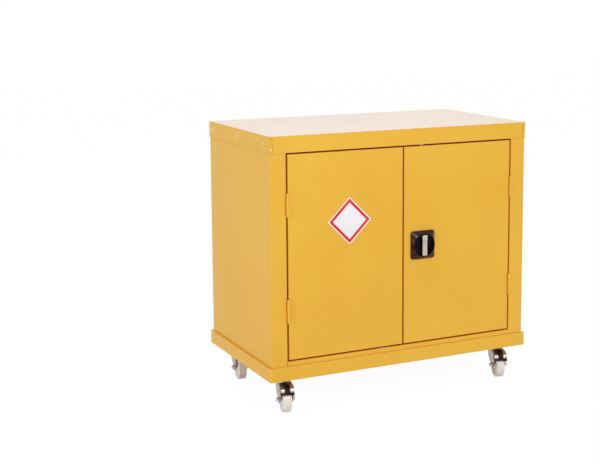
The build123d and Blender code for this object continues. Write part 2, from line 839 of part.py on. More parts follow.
def castor_pivot():
    """Pin that the pedal rocks on, headed outside the cheeks."""
    outer = fork_gap / 2 + fork_sheet
    pin = rod(pivot_radius, 2 * outer, (-outer, -pivot_trail, pivot_height), (1, 0, 0))
    for end in (-1, 1):
        pin += rod(pivot_head, pivot_head_height, (end * outer, -pivot_trail, pivot_height), (end, 0, 0))
    return pin


# ================================================================ write every node
os.makedirs("parts", exist_ok=True)
save("left_side_panel", side_panel())
save("right_side_panel", mirrored(side_panel()))
save("back_panel", back_panel())
save("floor_panel", floor_panel())
save("top_panel", top_panel())
save("worktop_rim", worktop_rim())
save("worktop_board", worktop_board())
save("base_tray", base_tray())

save("left_door_skin", left_door_skin())
save("right_door_skin", right_door_skin())
save("left_door_stiffener", stiffener(-(door_outer + door_inner) / 2))
save("right_door_stiffener", stiffener(lock_offset + 0.55 * (door_outer - lock_offset)))
save("catch_barrel", catch_barrel())
save("catch_strike", catch_strike())
frame_leaves = [hinge_leaf("frame", z) for z in hinge_heights]
door_leaves = [hinge_leaf("door", z) for z in hinge_heights]
save("frame_hinge_leaves", *frame_leaves, *[mirrored(leaf) for leaf in frame_leaves])
save("left_door_hinge_leaves", *door_leaves)
save("right_door_hinge_leaves", *[mirrored(leaf) for leaf in door_leaves])

save("lock_escutcheon", lock_escutcheon())
save("lock_nut", lock_nut())
save("lock_knob", lock_knob())
save("lock_grip", lock_grip())
save("lock_plug", lock_plug())
save("lock_cam", lock_cam())
save("lock_screw", lock_screw())
save("upper_rod", lock_rod(1))
save("lower_rod", lock_rod(-1))
save("rod_guides", *rod_guides())

save("shelf", shelf())
save("shelf_uprights", *shelf_uprights())
save("shelf_clips", *shelf_clips())

save("castor_plates", *castor_plates())
for name in castors:
    save(f"castor_fork_{name}", swivelled(name, castor_fork(name in braked)))
    save(f"castor_wheel_{name}", swivelled(name, castor_wheel()))
    save(f"castor_axle_{name}", swivelled(name, castor_axle()))
for name in braked:
    save(f"castor_pedal_{name}", swivelled(name, castor_pedal()))
    save(f"castor_pad_{name}", swivelled(name, castor_pad()))
    save(f"castor_pivot_{name}", swivelled(name, castor_pivot()))
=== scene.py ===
import bpy, bmesh, json, math
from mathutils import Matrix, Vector


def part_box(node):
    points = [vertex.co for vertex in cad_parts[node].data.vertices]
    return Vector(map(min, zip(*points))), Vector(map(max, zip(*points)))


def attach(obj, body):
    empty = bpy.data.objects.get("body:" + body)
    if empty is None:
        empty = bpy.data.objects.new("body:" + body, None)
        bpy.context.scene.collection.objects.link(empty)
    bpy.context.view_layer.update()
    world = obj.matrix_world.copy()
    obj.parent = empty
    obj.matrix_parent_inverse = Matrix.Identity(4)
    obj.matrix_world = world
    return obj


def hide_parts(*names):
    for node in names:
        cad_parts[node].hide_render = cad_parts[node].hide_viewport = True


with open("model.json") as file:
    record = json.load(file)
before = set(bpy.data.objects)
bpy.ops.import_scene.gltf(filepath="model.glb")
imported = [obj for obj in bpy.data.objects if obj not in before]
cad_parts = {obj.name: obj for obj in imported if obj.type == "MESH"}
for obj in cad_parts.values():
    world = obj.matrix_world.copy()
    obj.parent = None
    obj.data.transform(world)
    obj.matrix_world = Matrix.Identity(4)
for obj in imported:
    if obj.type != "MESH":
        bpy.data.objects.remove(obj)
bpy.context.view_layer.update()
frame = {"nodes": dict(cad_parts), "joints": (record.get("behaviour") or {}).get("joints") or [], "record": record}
nodes = frame["nodes"]
slotOf = {part["node"]: part["material_slot"] for part in frame["record"]["subparts"]}
print("frame loaded:", len(nodes), "pieces")

mm = 0.001


# places read from the frame

def low(node):
    return Vector(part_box(node)[0])


def high(node):
    return Vector(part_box(node)[1])


doorFace = low("left_door_skin").y
rimLow, rimHigh = low("worktop_rim"), high("worktop_rim")


# shader trees

def linear(red, green, blue):
    # a colour as a paint card gives it, 0 to 255, turned into scene light
    def one(value):
        value /= 255
        return value / 12.92 if value <= 0.04045 else ((value + 0.055) / 1.055) ** 2.4
    return (one(red), one(green), one(blue), 1.0)


def addNode(tree, kind, at, values=None, **settings):
    node = tree.nodes.new(kind)
    node.location = at
    for name, value in settings.items():
        setattr(node, name, value)
    for name, value in (values or {}).items():
        node.inputs[name].default_value = value
    return node


def wire(tree, *pairs):
    for start, end in pairs:
        tree.links.new(start, end)


def feed(tree, node, *pairs):
    # each numbered input takes a socket or a plain value
    for index, value in pairs:
        if isinstance(value, bpy.types.NodeSocket):
            wire(tree, (value, node.inputs[index]))
        elif value is not None:
            node.inputs[index].default_value = value


def mixColour(tree, at, factor, first, second):
    node = addNode(tree, "ShaderNodeMix", at, data_type="RGBA")
    feed(tree, node, (0, factor), (6, first), (7, second))
    return node.outputs[2]


def calc(tree, at, operation, first, second=None, clamp=False):
    node = addNode(tree, "ShaderNodeMath", at, operation=operation, use_clamp=clamp)
    feed(tree, node, (0, first), (1, second))
    return node.outputs[0]


def spread(tree, at, value, taken, given=(0.0, 1.0)):
    # carries the taken range over to the given one
    node = addNode(tree, "ShaderNodeMapRange", at)
    feed(tree, node, *enumerate((value, *taken, *given)))
    return node.outputs[0]


def layer(tree, at, colour, mask, amount, over):
    # lays another colour over this one where the mask shows, as strongly as amount says
    share = calc(tree, (at[0] - 200, at[1] - 200), "MULTIPLY", mask, amount)
    return mixColour(tree, at, share, colour, over)


def duller(tree, at, rough, mask, amount):
    # roughens the surface where the mask shows
    share = calc(tree, (at[0] - 200, at[1] - 150), "MULTIPLY", mask, amount)
    return calc(tree, at, "ADD", rough, share, True)


def addSocket(tree, label, flow, kind, value=None):
    socket = tree.interface.new_socket(name=label, in_out=flow, socket_type="NodeSocket" + kind)
    if value is not None:
        socket.default_value = value


def newGroup(name, inputs, outputs):
    group = bpy.data.node_groups.new(name, "ShaderNodeTree")
    for label, kind, value in inputs:
        addSocket(group, label, "INPUT", kind, value)
    for label, kind in outputs:
        addSocket(group, label, "OUTPUT", kind)
    start = addNode(group, "NodeGroupInput", (-900, 0))
    end = addNode(group, "NodeGroupOutput", (900, 0))
    return group, start, end


def takeIn(tree, start, *pairs):
    # wires the tree's named inputs to sockets inside it
    wire(tree, *((start.outputs[name], socket) for name, socket in pairs))


def giveOut(tree, end, *pairs):
    # wires sockets inside the tree to its named outputs
    wire(tree, *((socket, end.inputs[name]) for name, socket in pairs))


noiseSpan = (0.3, 0.7)  # nearly all of a noise texture's values lie in here
effect = {
    "speckScale": 90.0, "speckSize": (0.03, 0.09), "speckTone": (0.5, 0.62),
    "wearTurn": (0.02, 0.22), "wearRag": (0.42, 0.66),
    "dustFacing": (0.3, 0.9), "dustDrift": (0.35, 0.75), "dustShare": (0.15, 1.0),
    "smear": (0.35, 0.7), "scratch": (0.68, 0.76), "scratchPull": (14.0, 14.0, 1.4), "scratchScale": 11.0,
    # ranges of the occlusion masks that paint shade in seams and gaps
    "seam": (0.45, 0.8), "seamRag": (0.3, 0.6), "seamShare": (0.75, 1.0), "gap": (0.22, 0.52),
    "cloudScale": 55.0, "fineBump": 0.2 * mm,
}


def coatGroup():
    # the skin of a sprayed and baked coat: fine peel, broad tone, small specks
    group, start, end = newGroup("coatSkin", [
        ("Place", "Vector", None), ("Peel Scale", "Float", 420.0), ("Tone Scale", "Float", 2.2),
    ], [("Peel", "Float"), ("Tone", "Float"), ("Speck", "Float")])
    peel = addNode(group, "ShaderNodeTexNoise", (-500, 200), {"Detail": 2.0, "Roughness": 0.45})
    tone = addNode(group, "ShaderNodeTexNoise", (-500, -50), {"Detail": 4.0, "Roughness": 0.6})
    speck = addNode(group, "ShaderNodeTexVoronoi", (-500, -300),
                    {"Scale": effect["speckScale"], "Randomness": 1.0})
    takeIn(group, start, ("Place", peel.inputs["Vector"]), ("Place", tone.inputs["Vector"]),
           ("Place", speck.inputs["Vector"]), ("Peel Scale", peel.inputs["Scale"]),
           ("Tone Scale", tone.inputs["Scale"]))
    dots = spread(group, (0, -300), speck.outputs["Distance"], effect["speckSize"], (1.0, 0.0))
    rare = spread(group, (0, -500), tone.outputs["Fac"], effect["speckTone"])
    giveOut(group, end, ("Peel", peel.outputs["Fac"]), ("Tone", tone.outputs["Fac"]),
            ("Speck", calc(group, (400, -300), "MULTIPLY", dots, rare)))
    return group


def edgeGroup():
    # where a rounded edge turns away from the face, with a ragged border
    group, start, end = newGroup("edgeWear", [
        ("Place", "Vector", None), ("Radius", "Float", 0.0012), ("Rag Scale", "Float", 60.0),
    ], [("Mask", "Float"), ("Normal", "Vector")])
    bevel = addNode(group, "ShaderNodeBevel", (-600, 100), samples=6)
    face = addNode(group, "ShaderNodeNewGeometry", (-600, -150))
    dot = addNode(group, "ShaderNodeVectorMath", (-350, 0), operation="DOT_PRODUCT")
    rag = addNode(group, "ShaderNodeTexNoise", (-600, -400), {"Detail": 5.0, "Roughness": 0.7})
    takeIn(group, start, ("Radius", bevel.inputs["Radius"]), ("Place", rag.inputs["Vector"]),
           ("Rag Scale", rag.inputs["Scale"]))
    wire(group, (bevel.outputs[0], dot.inputs[0]), (face.outputs["Normal"], dot.inputs[1]))
    turn = calc(group, (-100, 0), "SUBTRACT", 1.0, dot.outputs["Value"])
    turn = spread(group, (100, 0), turn, effect["wearTurn"])
    ragged = spread(group, (-100, -400), rag.outputs["Fac"], effect["wearRag"])
    giveOut(group, end, ("Normal", bevel.outputs[0]),
            ("Mask", calc(group, (400, 0), "MULTIPLY", turn, ragged, True)))
    return group


def dustGroup():
    # dust that settles on what faces up, in soft drifts
    group, start, end = newGroup("settledDust", [
        ("Place", "Vector", None), ("Scale", "Float", 9.0), ("Amount", "Float", 0.3),
    ], [("Mask", "Float")])
    face = addNode(group, "ShaderNodeNewGeometry", (-600, 100))
    up = addNode(group, "ShaderNodeSeparateXYZ", (-400, 100))
    drift = addNode(group, "ShaderNodeTexNoise", (-600, -200), {"Detail": 6.0, "Roughness": 0.65})
    wire(group, (face.outputs["Normal"], up.inputs[0]))
    takeIn(group, start, ("Place", drift.inputs["Vector"]), ("Scale", drift.inputs["Scale"]))
    facing = spread(group, (-100, 100), up.outputs["Z"], effect["dustFacing"])
    soft = spread(group, (-100, -200), drift.outputs["Fac"], effect["dustDrift"], effect["dustShare"])
    mask = calc(group, (200, 0), "MULTIPLY", facing, soft)
    giveOut(group, end, ("Mask", calc(group, (450, 0), "MULTIPLY", mask, start.outputs["Amount"], True)))
    return group


def handlingGroup():
    # faint smears and wipe marks that only change how the surface shines
    group, start, end = newGroup("handlingMarks", [
        ("Place", "Vector", None), ("Smear Scale", "Float", 5.0), ("Stretch", "Vector", (1.0, 1.0, 0.25)),
    ], [("Smear", "Float"), ("Scratch", "Float")])
    pull = addNode(group, "ShaderNodeVectorMath", (-700, 200), operation="MULTIPLY")
    smear = addNode(group, "ShaderNodeTexNoise", (-450, 200), {"Detail": 5.0, "Distortion": 0.6})
    thin = addNode(group, "ShaderNodeVectorMath", (-700, -200), operation="MULTIPLY")
    feed(group, thin, (1, effect["scratchPull"]))
    scratch = addNode(group, "ShaderNodeTexNoise", (-450, -200),
                      {"Scale": effect["scratchScale"], "Detail": 3.0, "Distortion": 1.2})
    takeIn(group, start, ("Place", pull.inputs[0]), ("Stretch", pull.inputs[1]),
           ("Smear Scale", smear.inputs["Scale"]), ("Place", thin.inputs[0]))
    wire(group, (pull.outputs[0], smear.inputs["Vector"]), (thin.outputs[0], scratch.inputs["Vector"]))
    giveOut(group, end, ("Smear", spread(group, (0, 200), smear.outputs["Fac"], effect["smear"])),
            ("Scratch", spread(group, (0, -200), scratch.outputs["Fac"], effect["scratch"])))
    return group


def creviceGroup():
    # painted shade where sheets meet, and painted shade in narrow gaps, both from ambient occlusion
    group, start, end = newGroup("creviceGrime", [
        ("Place", "Vector", None), ("Reach", "Float", 0.005), ("Gap Reach", "Float", 0.03),
        ("Rag Scale", "Float", 45.0),
    ], [("Mask", "Float"), ("Deep", "Float")])
    near = addNode(group, "ShaderNodeAmbientOcclusion", (-600, 100), samples=8)
    deep = addNode(group, "ShaderNodeAmbientOcclusion", (-600, 350), samples=8)
    rag = addNode(group, "ShaderNodeTexNoise", (-600, -250), {"Detail": 4.0, "Roughness": 0.6})
    takeIn(group, start, ("Reach", near.inputs["Distance"]), ("Gap Reach", deep.inputs["Distance"]),
           ("Place", rag.inputs["Vector"]), ("Rag Scale", rag.inputs["Scale"]))
    # painted shade: the near occlusion darkens seams, the far one darkens gaps
    seam = spread(group, (-300, 100), near.outputs["AO"], effect["seam"], (1.0, 0.0))
    ragged = spread(group, (-300, -250), rag.outputs["Fac"], effect["seamRag"], effect["seamShare"])
    giveOut(group, end, ("Mask", calc(group, (0, 0), "MULTIPLY", seam, ragged, True)),
            ("Deep", spread(group, (0, 250), deep.outputs["AO"], effect["gap"], (1.0, 0.0))))
    return group


def grainGroup():
    # drawn metal: short streaks one way and a cloudy tone under them
    group, start, end = newGroup("metalGrain", [
        ("Place", "Vector", None), ("Stretch", "Vector", (1.0, 1.0, 0.08)), ("Scale", "Float", 600.0),
    ], [("Streak", "Float"), ("Cloud", "Float")])
    pull = addNode(group, "ShaderNodeVectorMath", (-700, 200), operation="MULTIPLY")
    streak = addNode(group, "ShaderNodeTexNoise", (-450, 200), {"Detail": 3.0})
    cloud = addNode(group, "ShaderNodeTexNoise", (-450, -200),
                    {"Scale": effect["cloudScale"], "Detail": 4.0, "Roughness": 0.6})
    takeIn(group, start, ("Place", pull.inputs[0]), ("Stretch", pull.inputs[1]),
           ("Scale", streak.inputs["Scale"]), ("Place", cloud.inputs["Vector"]))
    wire(group, (pull.outputs[0], streak.inputs["Vector"]))
    giveOut(group, end, ("Streak", streak.outputs["Fac"]), ("Cloud", cloud.outputs["Fac"]))
    return group


coatSkin, edgeWear, settledDust = coatGroup(), edgeGroup(), dustGroup()
handlingMarks, metalGrain, creviceGrime = handlingGroup(), grainGroup(), creviceGroup()


def useGroup(tree, group, at, place, values=None):
    node = addNode(tree, "ShaderNodeGroup", at, values, node_tree=group)
    wire(tree, (place, node.inputs["Place"]))
    return node


def newMaterial(name):
    material = bpy.data.materials.new(name)
    material.use_nodes = True
    tree = material.node_tree
    place = addNode(tree, "ShaderNodeTexCoord", (-1700, 0)).outputs["Object"]
    return material, tree, tree.nodes["Principled BSDF"], place


def noise(tree, at, place, values):
    node = addNode(tree, "ShaderNodeTexNoise", at, values)
    wire(tree, (place, node.inputs["Vector"]))
    return node.outputs["Fac"]


def bump(tree, shader, height, normal, strength, distance):
    node = addNode(tree, "ShaderNodeBump", (-250, -500), {"Strength": strength, "Distance": distance})
    wire(tree, (height, node.inputs["Height"]), (normal, node.inputs["Normal"]),
         (node.outputs[0], shader.inputs["Normal"]))


def smeared(tree, at, marks, look):
    # roughness from clean to smeared
    clean = look["rough"]
    return spread(tree, at, marks.outputs["Smear"], (0.0, 1.0), (clean, clean + look["smear"]))


def coatedSteel(name, look):
    # baked powder coat: even colour, soft peel, paler worn folds, dust where it faces up, painted shade in its
    # seams and gaps
    material, tree, shader, place = newMaterial(name)
    skin = useGroup(tree, coatSkin, (-1300, 300), place, {"Peel Scale": look["peelScale"]})
    edge = useGroup(tree, edgeWear, (-1300, 0), place, {"Radius": look["edgeRadius"]})
    dust = useGroup(tree, settledDust, (-1300, -250), place, {"Amount": look["dust"]})
    marks = useGroup(tree, handlingMarks, (-1300, -500), place)
    seam = useGroup(tree, creviceGrime, (-1300, -750), place, {"Reach": look["seamReach"]})
    shade = spread(tree, (-1000, 300), skin.outputs["Tone"], noiseSpan)
    colour = mixColour(tree, (-800, 300), shade, look["deep"], look["light"])
    colour = layer(tree, (-600, 300), colour, skin.outputs["Speck"], look["specks"], look["speck"])
    colour = layer(tree, (-400, 300), colour, edge.outputs["Mask"], look["wear"], look["worn"])
    colour = mixColour(tree, (-200, 300), dust.outputs["Mask"], colour, look["dustColour"])
    # painted shade: seams turn brown and narrow gaps red-brown where the occlusion masks show
    colour = layer(tree, (0, 500), colour, seam.outputs["Mask"], look["seam"], look["seamColour"])
    colour = layer(tree, (200, 500), colour, seam.outputs["Deep"], look["gap"], look["gapColour"])
    rough = smeared(tree, (-800, -200), marks, look)
    rough = duller(tree, (-500, -200), rough, dust.outputs["Mask"], look["dustRough"])
    wire(tree, (colour, shader.inputs["Base Color"]), (rough, shader.inputs["Roughness"]))
    shader.inputs["Specular IOR Level"].default_value = look["shine"]
    bump(tree, shader, skin.outputs["Peel"], edge.outputs["Normal"], look["peel"], look["peelDepth"])
    return material


bodyYellow = {
    "deep": linear(231, 177, 54), "light": linear(237, 186, 64), "speck": linear(214, 158, 44),
    "specks": 0.25, "worn": linear(247, 208, 120), "wear": 0.35, "edgeRadius": 0.9 * mm,
    "rough": 0.36, "smear": 0.1, "shine": 0.3, "peelScale": 420.0, "peel": 0.16, "peelDepth": 0.4 * mm,
    "dust": 0.1, "dustRough": 0.4, "dustColour": linear(238, 214, 160),
    # painted shade colours and amounts for seams and door gaps
    "seam": 0.4, "seamReach": 3.8 * mm, "seamColour": linear(178, 112, 44),
    "gap": 0.65, "gapColour": linear(232, 84, 46),
}
powderYellow = coatedSteel("powderYellow", bodyYellow)


def laminateSheet(name, look):
    # hard worktop laminate: fine cloudy print, tiny pores, soft wipe marks
    material, tree, shader, place = newMaterial(name)
    edge = useGroup(tree, edgeWear, (-1300, 0), place, {"Radius": look["edgeRadius"]})
    marks = useGroup(tree, handlingMarks, (-1300, -500), place,
                     {"Smear Scale": look["smearScale"], "Stretch": look["smearStretch"]})
    cloud = noise(tree, (-1300, 300), place, {"Scale": look["cloudScale"], "Detail": 7.0, "Roughness": 0.62})
    pores = noise(tree, (-1300, 600), place, {"Scale": look["poreScale"], "Detail": 2.0})
    shade = spread(tree, (-1000, 300), cloud, noiseSpan)
    colour = mixColour(tree, (-700, 300), shade, look["deep"], look["light"])
    fine = spread(tree, (-1000, 600), pores, look["poreSpan"], (0.0, look["pores"]))
    colour = mixColour(tree, (-500, 300), fine, colour, look["pore"])
    colour = layer(tree, (-300, 300), colour, edge.outputs["Mask"], look["wear"], look["worn"])
    wire(tree, (colour, shader.inputs["Base Color"]),
         (smeared(tree, (-600, -300), marks, look), shader.inputs["Roughness"]))
    bump(tree, shader, pores, edge.outputs["Normal"], look["bump"], effect["fineBump"])
    return material


topSheet = {
    "deep": linear(248, 231, 217), "light": linear(252, 238, 226), "cloudScale": 6.0,
    "pore": linear(236, 214, 198), "pores": 0.25, "poreScale": 900.0, "poreSpan": (0.5, 0.72),
    "worn": linear(206, 186, 170), "wear": 0.5, "edgeRadius": 0.8 * mm,
    "rough": 0.42, "smear": 0.14, "smearScale": 3.2, "smearStretch": (0.5, 1.6, 1.0), "bump": 0.12,
}
laminate = laminateSheet("worktopLaminate", topSheet)


def platedSteel(name, look):
    # zinc plate over pressed steel: bright, a little cloudy, drawn streaks, painted shade in the folds and under
    # things
    material, tree, shader, place = newMaterial(name)
    grain = useGroup(tree, metalGrain, (-1300, 300), place,
                     {"Stretch": look["stretch"], "Scale": look["grainScale"]})
    edge = useGroup(tree, edgeWear, (-1300, 0), place, {"Radius": look["edgeRadius"]})
    marks = useGroup(tree, handlingMarks, (-1300, -400), place, {"Smear Scale": look["smearScale"]})
    dust = useGroup(tree, settledDust, (-1300, -650), place,
                    {"Amount": look["dust"], "Scale": look["dustScale"]})
    seam = useGroup(tree, creviceGrime, (-1300, -900), place,
                    {"Reach": look["seamReach"], "Gap Reach": look["shadeReach"]})
    cloud = spread(tree, (-1000, 300), grain.outputs["Cloud"], noiseSpan)
    colour = mixColour(tree, (-700, 300), cloud, look["deep"], look["light"])
    colour = layer(tree, (-500, 300), colour, marks.outputs["Scratch"], look["scratches"], look["scratch"])
    colour = mixColour(tree, (-300, 300), dust.outputs["Mask"], colour, look["dustColour"])
    # painted shade: crevices and the far occlusion mask darken the zinc towards the shade colour
    colour = layer(tree, (-100, 500), colour, seam.outputs["Mask"], look["seam"], look["grime"])
    colour = layer(tree, (100, 500), colour, seam.outputs["Deep"], look["shade"], look["grime"])
    rough = spread(tree, (-900, -200), grain.outputs["Streak"], noiseSpan,
                   (look["rough"], look["rough"] + look["streak"]))
    rough = duller(tree, (-600, -200), rough, marks.outputs["Smear"], look["smear"])
    covered = calc(tree, (-800, -50), "MULTIPLY", dust.outputs["Mask"], look["metal"] * look["dustCover"])
    metal = calc(tree, (-600, 0), "SUBTRACT", look["metal"], covered, True)
    wire(tree, (colour, shader.inputs["Base Color"]), (rough, shader.inputs["Roughness"]),
         (metal, shader.inputs["Metallic"]))
    bump(tree, shader, grain.outputs["Streak"], edge.outputs["Normal"], look["bump"], effect["fineBump"])
    return material


castorZinc = {
    "deep": linear(138, 129, 114), "light": linear(170, 161, 147), "metal": 1.0,
    "scratch": linear(206, 200, 188), "scratches": 0.4, "rough": 0.18, "streak": 0.14, "smear": 0.08,
    "smearScale": 26.0, "grainScale": 700.0, "stretch": (1.0, 1.0, 0.1), "edgeRadius": 0.7 * mm, "bump": 0.08,
    "dust": 0.18, "dustScale": 30.0, "dustCover": 0.8, "dustColour": linear(168, 158, 142),
    # the shade colour paints shade in creases and under the tray
    "grime": linear(88, 46, 26), "seam": 0.5, "seamReach": 6 * mm, "shade": 0.45, "shadeReach": 30 * mm,
}
brightZinc = platedSteel("brightZinc", castorZinc)
pedalZinc = platedSteel("pedalZinc", dict(
    castorZinc, deep=linear(192, 176, 160), light=linear(214, 200, 186), shade=0.0, rough=0.14))
# plate copy with a darker, redder painted shade under the tray
plateZinc = platedSteel("plateZinc", dict(castorZinc, grime=linear(70, 30, 20), shade=0.6))
nutZinc = platedSteel("nutZinc", dict(
    castorZinc, deep=linear(206, 201, 192), light=linear(232, 229, 222), shade=0.3, rough=0.2, metal=0.75))
rivetZinc = platedSteel("rivetZinc", dict(
    castorZinc, deep=linear(232, 226, 214), light=linear(246, 242, 234), grime=linear(150, 108, 60),
    shade=0.3, rough=0.3, metal=0.25))
# a paler, less metallic copy of the zinc, so that the catch and rods in the shaded door gap show painted
# highlights
innerZinc = platedSteel("innerZinc", dict(
    castorZinc, deep=linear(214, 208, 198), light=linear(234, 229, 220), shade=0.1, rough=0.26, metal=0.45))
keyMetal = platedSteel("keyMetal", dict(
    castorZinc, deep=linear(196, 190, 182), light=linear(222, 216, 208), rough=0.22))


def mouldedPlastic(name, look):
    # moulded part: slight flow clouding, a fine matt grain or a gloss with wipe marks
    material, tree, shader, place = newMaterial(name)
    edge = useGroup(tree, edgeWear, (-1300, 0), place,
                    {"Radius": look["edgeRadius"], "Rag Scale": look["ragScale"]})
    marks = useGroup(tree, handlingMarks, (-1300, -400), place, {"Smear Scale": look["smearScale"]})
    dust = useGroup(tree, settledDust, (-1300, -650), place,
                    {"Amount": look["dust"], "Scale": look["dustScale"]})
    flow = noise(tree, (-1300, 300), place, {"Scale": look["flowScale"], "Detail": 3.0, "Distortion": 0.8})
    grain = noise(tree, (-1300, 600), place, {"Scale": look["grainScale"], "Detail": 2.0})
    shade = spread(tree, (-1000, 300), flow, noiseSpan)
    colour = mixColour(tree, (-700, 300), shade, look["deep"], look["light"])
    colour = layer(tree, (-500, 300), colour, edge.outputs["Mask"], look["wear"], look["worn"])
    colour = mixColour(tree, (-300, 300), dust.outputs["Mask"], colour, look["dustColour"])
    rough = smeared(tree, (-900, -200), marks, look)
    rough = duller(tree, (-600, -200), rough, marks.outputs["Scratch"], look["scratches"])
    wire(tree, (colour, shader.inputs["Base Color"]), (rough, shader.inputs["Roughness"]))
    shader.inputs["Specular IOR Level"].default_value = look["shine"]
    bump(tree, shader, grain, edge.outputs["Normal"], look["bump"], effect["fineBump"])
    return material


wheelNylon = {
    "deep": linear(226, 220, 212), "light": linear(238, 233, 226), "flowScale": 24.0,
    "worn": linear(204, 196, 184), "wear": 0.5, "edgeRadius": 1.0 * mm, "ragScale": 220.0,
    "dustColour": linear(176, 164, 146), "dust": 0.12, "dustScale": 40.0, "rough": 0.38, "smear": 0.14,
    "smearScale": 30.0, "scratches": 0.12, "shine": 0.4, "grainScale": 900.0, "bump": 0.06,
}
lockGloss = {
    "deep": linear(40, 12, 10), "light": linear(54, 20, 16), "flowScale": 40.0,
    "worn": linear(92, 66, 62), "wear": 0.4, "edgeRadius": 0.8 * mm, "ragScale": 220.0,
    "dustColour": linear(120, 94, 84), "dust": 0.03, "dustScale": 40.0, "rough": 0.13, "smear": 0.07,
    "smearScale": 40.0, "scratches": 0.12, "shine": 0.21, "grainScale": 1500.0, "bump": 0.03,
}
nylonWhite = mouldedPlastic("nylonWhite", wheelNylon)
lockBlack = mouldedPlastic("lockBlack", lockGloss)
knobBlack = mouldedPlastic("knobBlack", dict(
    lockGloss, deep=linear(12, 8, 8), light=linear(20, 13, 13), worn=linear(58, 46, 46), shine=0.07,
    rough=0.14))
pedalRubber = mouldedPlastic("pedalRubber", dict(
    lockGloss, deep=linear(18, 10, 14), light=linear(30, 20, 24), worn=linear(74, 62, 58), rough=0.42,
    smear=0.2, bump=0.25, grainScale=700.0))
gripLight = mouldedPlastic("gripLight", dict(
    wheelNylon, deep=linear(194, 180, 167), light=linear(210, 197, 186), worn=linear(168, 156, 146),
    dust=0.04, rough=0.34, edgeRadius=0.5 * mm))
print("materials ready")


# every carried-over piece gets its finish, and its curved faces shade smoothly

weldReach = 0.01 * mm
creaseAngle = math.radians(32)


def smoothTree():
    tree = bpy.data.node_groups.new("smoothByAngle", "GeometryNodeTree")
    addSocket(tree, "Geometry", "INPUT", "Geometry")
    addSocket(tree, "Angle", "INPUT", "Float")
    addSocket(tree, "Geometry", "OUTPUT", "Geometry")
    start = addNode(tree, "NodeGroupInput", (-800, 0))
    end = addNode(tree, "NodeGroupOutput", (600, 0))
    weld = addNode(tree, "GeometryNodeMergeByDistance", (-600, 0), {"Distance": weldReach})
    smooth = addNode(tree, "GeometryNodeSetShadeSmooth", (-200, 0), domain="FACE")
    crease = addNode(tree, "GeometryNodeSetShadeSmooth", (200, 0), {"Shade Smooth": False}, domain="EDGE")
    angle = addNode(tree, "GeometryNodeInputMeshEdgeAngle", (-600, -250))
    sharp = addNode(tree, "FunctionNodeCompare", (-200, -250), data_type="FLOAT", operation="GREATER_THAN")
    wire(tree, (start.outputs[0], weld.inputs[0]), (weld.outputs[0], smooth.inputs[0]),
         (smooth.outputs[0], crease.inputs[0]), (angle.outputs[0], sharp.inputs[0]),
         (start.outputs["Angle"], sharp.inputs[1]), (sharp.outputs[0], crease.inputs["Selection"]),
         (crease.outputs[0], end.inputs[0]))
    return tree


def socketsOf(tree):
    # a modifier's inputs are set by their sockets' identifiers
    return {item.name: item.identifier for item in tree.interface.items_tree if item.in_out == "INPUT"}


finishOf = {
    "body_yellow": powderYellow, "worktop_laminate": laminate, "zinc": brightZinc, "nylon_white": nylonWhite,
    "black_plastic": lockBlack, "grip_light": gripLight, "plug_metal": keyMetal,
}
ownFinish = {
    "castor_pad": pedalRubber, "castor_pedal": pedalZinc, "castor_plates": plateZinc, "castor_axle": nutZinc,
    "castor_pivot": nutZinc, "lock_knob": knobBlack, "catch_barrel": innerZinc, "catch_strike": innerZinc,
    "upper_rod": innerZinc, "lower_rod": innerZinc,
}
smoothByAngle = smoothTree()
angleSocket = socketsOf(smoothByAngle)["Angle"]
for nodeName, item in nodes.items():
    kind = nodeName.split("_front")[0].split("_rear")[0]
    finish = ownFinish.get(kind, finishOf[slotOf[nodeName]])
    if item.material_slots:
        for materialSlot in item.material_slots:
            materialSlot.material = finish
    else:
        item.data.materials.append(finish)
    modifier = item.modifiers.new("smoothByAngle", "NODES")
    modifier.node_group = smoothByAngle
    modifier[angleSocket] = creaseAngle
print("finishes on", len(nodes), "pieces")


# pieces of the scene's own

def keepPiece(name, mesh, material, body, smooth=False):
    # a finished mesh, its place in its vertices, riding on its body
    mesh.name = name
    if not mesh.materials:
        mesh.materials.append(material)
    mesh.polygons.foreach_set("use_smooth", [smooth] * len(mesh.polygons))
    piece = bpy.data.objects.new(name, mesh)
    bpy.context.scene.collection.objects.link(piece)
    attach(piece, body)
    return piece


def meshFrom(work):
    bmesh.ops.recalc_face_normals(work, faces=work.faces)
    mesh = bpy.data.meshes.new("piece")
    work.to_mesh(mesh)
    work.free()
    return mesh


def loft(work, rings):
    # joins equal rings of points with faces and closes both ends
    for lower, upper in zip(rings, rings[1:]):
        for step in range(len(lower)):
            after = (step + 1) % len(lower)
            work.faces.new((lower[step], lower[after], upper[after], upper[step]))
    work.faces.new(rings[0])
    work.faces.new(rings[-1])


def plateMesh(outline, thickness, facing, cut=0.0):
    # a flat plate from its outline's points, pushed out along facing, its front edges cut
    work = bmesh.new()
    face = work.faces.new([work.verts.new(point) for point in outline])
    made = bmesh.ops.extrude_face_region(work, geom=[face])
    lifted = [item for item in made["geom"] if isinstance(item, bmesh.types.BMVert)]
    bmesh.ops.translate(work, verts=lifted, vec=Vector(facing) * thickness)
    if cut:
        rim = [edge for edge in work.edges if all(vert in lifted for vert in edge.verts)]
        bmesh.ops.bevel(work, geom=rim, offset=cut, segments=2, affect="EDGES", profile=0.6)
    return meshFrom(work)


sign = {
    "across": -188 * mm, "level": 581 * mm, "halfDiagonal": 74 * mm, "thickness": 0.35 * mm,
    "corner": 2.5 * mm, "margin": 3.5 * mm, "band": 8.7 * mm, "blur": 0.15 * mm,
    "white": (linear(233, 233, 236), linear(243, 243, 245)),
    "red": (linear(218, 24, 32), linear(230, 32, 38)),
    "worn": linear(226, 220, 210), "wear": 0.5, "edgeRadius": 0.3 * mm, "toneScale": 30.0,
    "rough": 0.26, "smear": 0.16, "smearScale": 18.0, "bump": 0.05, "bumpDepth": 0.1 * mm,
}


